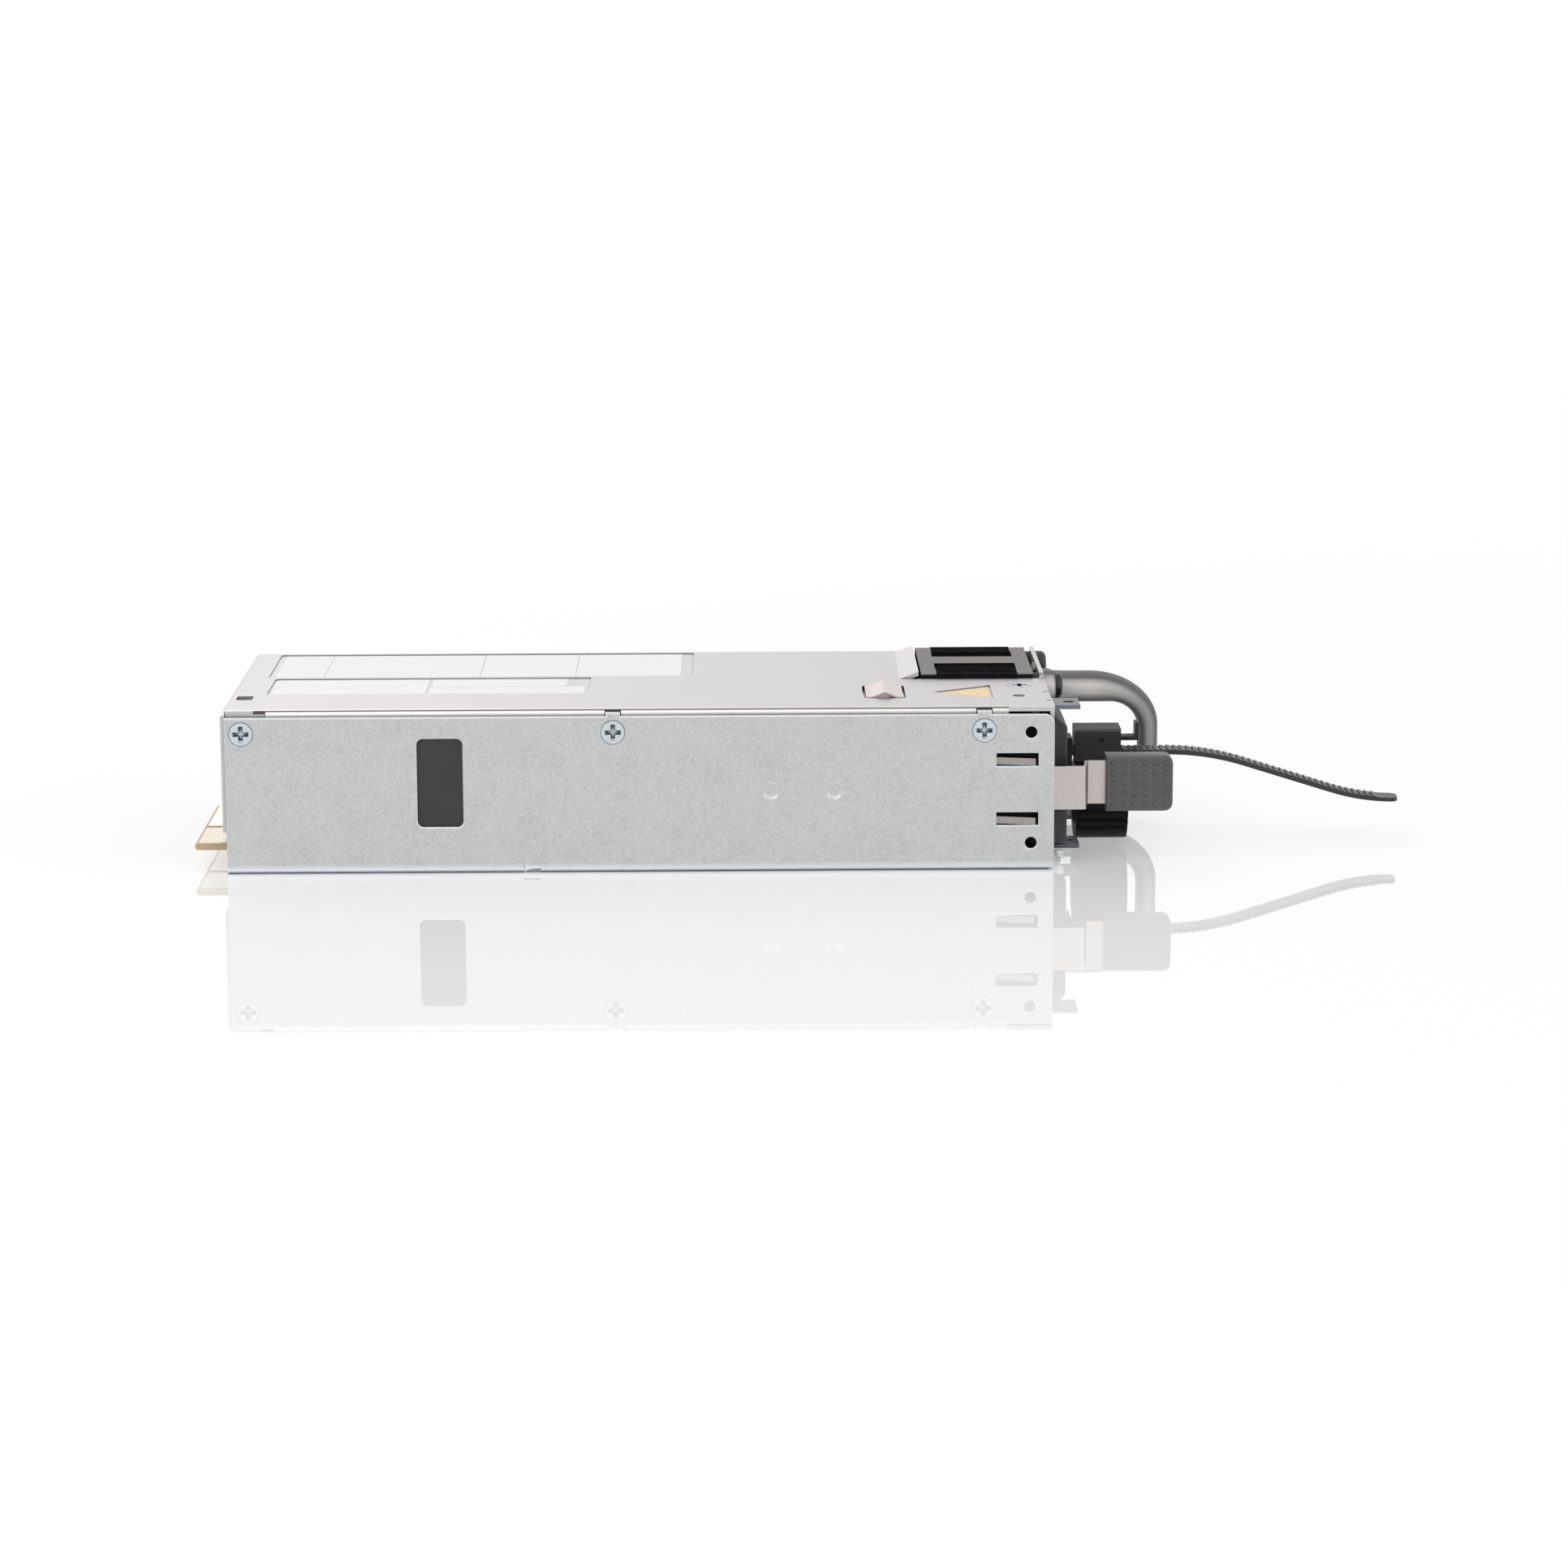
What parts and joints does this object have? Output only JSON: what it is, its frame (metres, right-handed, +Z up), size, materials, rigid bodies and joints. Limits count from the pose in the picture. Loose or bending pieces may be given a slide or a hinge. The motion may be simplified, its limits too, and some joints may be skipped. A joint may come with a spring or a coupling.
{
  "type": "hot swap server power supply",
  "caption": "Hot swap server power supply: folded sheet metal case with ducted fan, mains inlet, loop handle, thumb latch, ratchet cord clamp and board edge connector.",
  "frame": {"origin": "middle of the underside of the case floor", "axes": "+X along the case towards the handle, +Y away from the latch side, +Z up"},
  "size_m": [0.2965, 0.0869, 0.0417],
  "materials": {
    "zinc_sheet": "zinc coated, fine grain",
    "cover_sheet": "zinc coated, satin",
    "screw_steel": "blue zinc",
    "spring_steel": "bright strip",
    "bright_metal": "nickel plated",
    "black_steel": "black zinc",
    "motor_iron": "lacquered",
    "contact_gold": "gold flash",
    "copper_wire": "enamelled",
    "heatsink_metal": "extruded",
    "ferrite": "matt",
    "fuse_ceramic": "matt",
    "circuit_board": "solder mask",
    "black_plastic": "fine grain",
    "grey_plastic": "satin",
    "pad_plastic": "satin",
    "winding_tape": "tape",
    "capacitor_box": "potted box",
    "can_sleeve": "shrink sleeve",
    "lead_sleeve": "insulation",
    "soft_rubber": "moulded",
    "clear_lens": "clear"
  },
  "bodies": {
    "case": {"chassis_tray": "zinc_sheet", "top_cover": "cover_sheet", "cover_screws": "screw_steel", "insulator_film": "black_plastic", "main_board": "circuit_board", "edge_contacts": "contact_gold", "board_standoffs": "contact_gold", "board_screws": "screw_steel", "bulk_capacitors": "can_sleeve", "transformer_core": "ferrite", "transformer_winding": "winding_tape", "pfc_choke": "copper_wire", "emi_choke": "copper_wire", "film_capacitor": "capacitor_box", "fuse": "fuse_ceramic", "primary_heatsink": "heatsink_metal", "secondary_heatsink": "heatsink_metal", "power_transistors": "black_plastic", "output_capacitors": "can_sleeve", "control_board": "circuit_board", "inlet_body": "black_plastic", "inlet_pins": "bright_metal", "mains_leads": "lead_sleeve", "fan_frame": "black_plastic", "fan_stator": "motor_iron", "fan_grommets": "soft_rubber", "fan_rivets": "black_plastic", "fan_lead": "lead_sleeve", "handle": "grey_plastic", "handle_screws": "black_steel", "latch_root": "spring_steel", "retainer_strap": "black_plastic", "status_lens": "clear_lens"},
    "rotor": {"fan_rotor": "black_plastic", "fan_shaft": "screw_steel"},
    "latch": {"latch_spring": "spring_steel", "latch_pad": "pad_plastic"},
    "clamp": {"retainer_slider": "black_plastic", "jaw_pin": "screw_steel"},
    "jaw": {"clamp_jaw": "black_plastic"},
    "lever": {"release_lever": "black_plastic"},
    "contact": {"ground_spring": "spring_steel"}
  },
  "joints": [
    {"name": "fan_spin", "type": "hinge", "parent": "case", "child": "rotor", "pos_m": [0.0834, 0.0185, 0.0213], "axis": [1, 0, 0], "continuous": true},
    {"name": "latch_press", "type": "hinge", "parent": "case", "child": "latch", "pos_m": [0.0523, -0.04165, 0.01996], "axis": [0, 0, 1], "range_deg": [0, 3.5], "stiffness_Nm_per_rad": 8},
    {"name": "clamp_slide", "type": "slide", "parent": "case", "child": "clamp", "axis": [1, 0, 0], "range_m": [0, 0.0115]},
    {"name": "clamp_open", "type": "hinge", "parent": "clamp", "child": "jaw", "pos_m": [0.1129, -0.01387, 0.01848], "axis": [-1, 0, 0], "range_deg": [0, 50]},
    {"name": "lever_press", "type": "hinge", "parent": "clamp", "child": "lever", "pos_m": [0.1136, -0.008, 0.0261], "axis": [0, 1, 0], "range_deg": [0, 8], "stiffness_Nm_per_rad": 0.2},
    {"name": "contact_press", "type": "slide", "parent": "case", "child": "contact", "axis": [0, 0, -1], "range_m": [0, 0.0012], "stiffness_N_per_m": 1000}
  ]
}
